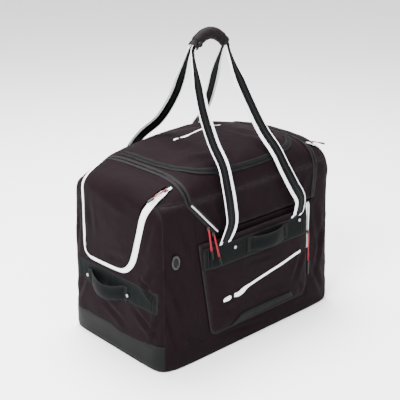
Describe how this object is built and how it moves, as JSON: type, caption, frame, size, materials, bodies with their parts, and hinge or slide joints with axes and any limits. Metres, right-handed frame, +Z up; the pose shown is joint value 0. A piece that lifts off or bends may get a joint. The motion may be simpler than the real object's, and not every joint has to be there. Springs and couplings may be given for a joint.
{
  "type": "hockey equipment bag",
  "caption": "Tall rectangular sports kit bag with a zipped arched lid, zipped end and front pockets, webbing haul handles and two carry straps joined in a padded grip.",
  "frame": {"origin": "middle of the base on the floor", "axes": "+X along the bag towards its right end, +Z up; the front with the pocket faces -Y"},
  "size_m": [0.8314, 0.521, 0.96],
  "materials": {
    "fabric": "coarse woven polyester, matt, brown black",
    "tarpaulin": "coated cloth, low sheen, dark grey",
    "base_board": "sheet plastic",
    "white_trim": "white coated tape",
    "grey_trim": "light grey woven tape",
    "webbing": "ribbed polyester webbing, black",
    "rubber_patch": "matt coated patch",
    "rivet_metal": "bright rivet",
    "pull_cord": "red cord",
    "pull_tip": "moulded black plastic",
    "slider_metal": "black enamelled zip slider",
    "strap_webbing": "black webbing with white edges",
    "vent_mesh": "black mesh"
  },
  "bodies": {
    "bag_body": {"back_panel": "fabric", "back_yoke": "fabric", "base_board": "base_board", "base_panel": "tarpaulin", "front_haul_band": "webbing", "front_haul_loop": "webbing", "front_panel": "fabric", "front_patch": "rubber_patch", "front_pocket": "fabric", "front_pocket_trim": "white_trim", "front_rivet_1": "rivet_metal", "front_rivet_2": "rivet_metal", "left_end_panel": "fabric", "left_end_top": "fabric", "left_haul_band": "webbing", "left_haul_loop": "webbing", "left_pocket_trim": "white_trim", "left_pocket_wall": "fabric", "left_rivet_1": "rivet_metal", "left_rivet_2": "rivet_metal", "left_tarp_band": "tarpaulin", "left_zip_slider": "slider_metal", "main_zip_b_slider": "slider_metal", "main_zip_tape": "webbing", "right_end_panel": "fabric", "right_end_top": "fabric", "right_haul_band": "webbing", "right_haul_loop": "webbing", "right_pocket_trim": "white_trim", "right_pocket_wall": "fabric", "right_rivet_1": "rivet_metal", "right_rivet_2": "rivet_metal", "right_tarp_band": "tarpaulin", "right_zip_slider": "slider_metal", "vent_mesh": "vent_mesh", "vent_ring": "webbing"},
    "lid": {"lid_panel": "fabric", "lid_drop": "fabric", "lid_drop_binding": "grey_trim", "lid_band": "webbing"},
    "front_carry_strap": {"front_strap": "strap_webbing", "grip_front": "fabric", "grip_snap": "pull_tip"},
    "rear_carry_strap": {"rear_strap": "strap_webbing", "grip_rear": "fabric"},
    "left_flap": {"left_pocket_flap": "fabric"},
    "right_flap": {"right_pocket_flap": "fabric"},
    "main_slider_a": {"main_zip_a_slider": "slider_metal"},
    "main_pull_a": {"main_zip_a_pull_cord": "pull_cord", "main_zip_a_pull_tip": "pull_tip"},
    "main_pull_b": {"main_zip_b_pull_cord": "pull_cord", "main_zip_b_pull_tip": "pull_tip"},
    "front_slider": {"front_zip_slider": "slider_metal"},
    "front_pull": {"front_zip_pull_cord": "pull_cord", "front_zip_pull_tip": "pull_tip"},
    "left_pull": {"left_zip_pull_cord": "pull_cord", "left_zip_pull_tip": "pull_tip"},
    "right_pull": {"right_zip_pull_cord": "pull_cord", "right_zip_pull_tip": "pull_tip"}
  },
  "joints": [
    {"name": "lid_hinge", "type": "hinge", "parent": "bag_body", "child": "lid", "pos_m": [0, 0.165, 0.6078], "axis": [-1, 0, 0], "range_deg": [0, 90]},
    {"name": "front_strap_swing", "type": "hinge", "parent": "bag_body", "child": "front_carry_strap", "pos_m": [0, -0.246, 0.376], "axis": [1, 0, 0], "range_deg": [0, 144]},
    {"name": "rear_strap_swing", "type": "hinge", "parent": "bag_body", "child": "rear_carry_strap", "pos_m": [0, 0.246, 0.376], "axis": [-1, 0, 0], "range_deg": [0, 144]},
    {"name": "left_flap_hinge", "type": "hinge", "parent": "bag_body", "child": "left_flap", "pos_m": [-0.296, 0, 0.56796], "axis": [0, 1, 0], "range_deg": [0, 110]},
    {"name": "right_flap_hinge", "type": "hinge", "parent": "bag_body", "child": "right_flap", "pos_m": [0.296, 0, 0.58741], "axis": [0, -1, 0], "range_deg": [0, 110]},
    {"name": "main_slider_a_run", "type": "slide", "parent": "bag_body", "child": "main_slider_a", "axis": [-0.6803, 0.0228, 0.7326], "range_m": [0, 0.06]},
    {"name": "main_pull_a_hinge", "type": "hinge", "parent": "main_slider_a", "child": "main_pull_a", "pos_m": [-0.19748, -0.22771, 0.41992], "axis": [-1, 0.0005, 0], "range_deg": [0, 140]},
    {"name": "main_pull_b_hinge", "type": "hinge", "parent": "bag_body", "child": "main_pull_b", "pos_m": [-0.17659, -0.22841, 0.39742], "axis": [-1, 0.0001, 0], "range_deg": [0, 140]},
    {"name": "front_slider_run", "type": "slide", "parent": "bag_body", "child": "front_slider", "axis": [0, 0.0307, 0.9995], "range_m": [-0.045, 0.09]},
    {"name": "front_pull_hinge", "type": "hinge", "parent": "front_slider", "child": "front_pull", "pos_m": [0.25006, -0.2347, 0.2863], "axis": [-1, -0.0058, 0], "range_deg": [0, 140]},
    {"name": "left_pull_hinge", "type": "hinge", "parent": "bag_body", "child": "left_pull", "pos_m": [-0.31363, -0.16962, 0.5584], "axis": [-0.0789, 0.9468, 0.3119], "range_deg": [0, 140]},
    {"name": "right_pull_hinge", "type": "hinge", "parent": "bag_body", "child": "right_pull", "pos_m": [0.32444, -0.17025, 0.57243], "axis": [-0.1057, -0.9314, -0.3485], "range_deg": [0, 140]}
  ],
  "couplings": [
    {"joint": "front_strap_swing", "follows": "lid_hinge", "ratio": 1.6},
    {"joint": "rear_strap_swing", "follows": "lid_hinge", "ratio": 1.6}
  ]
}
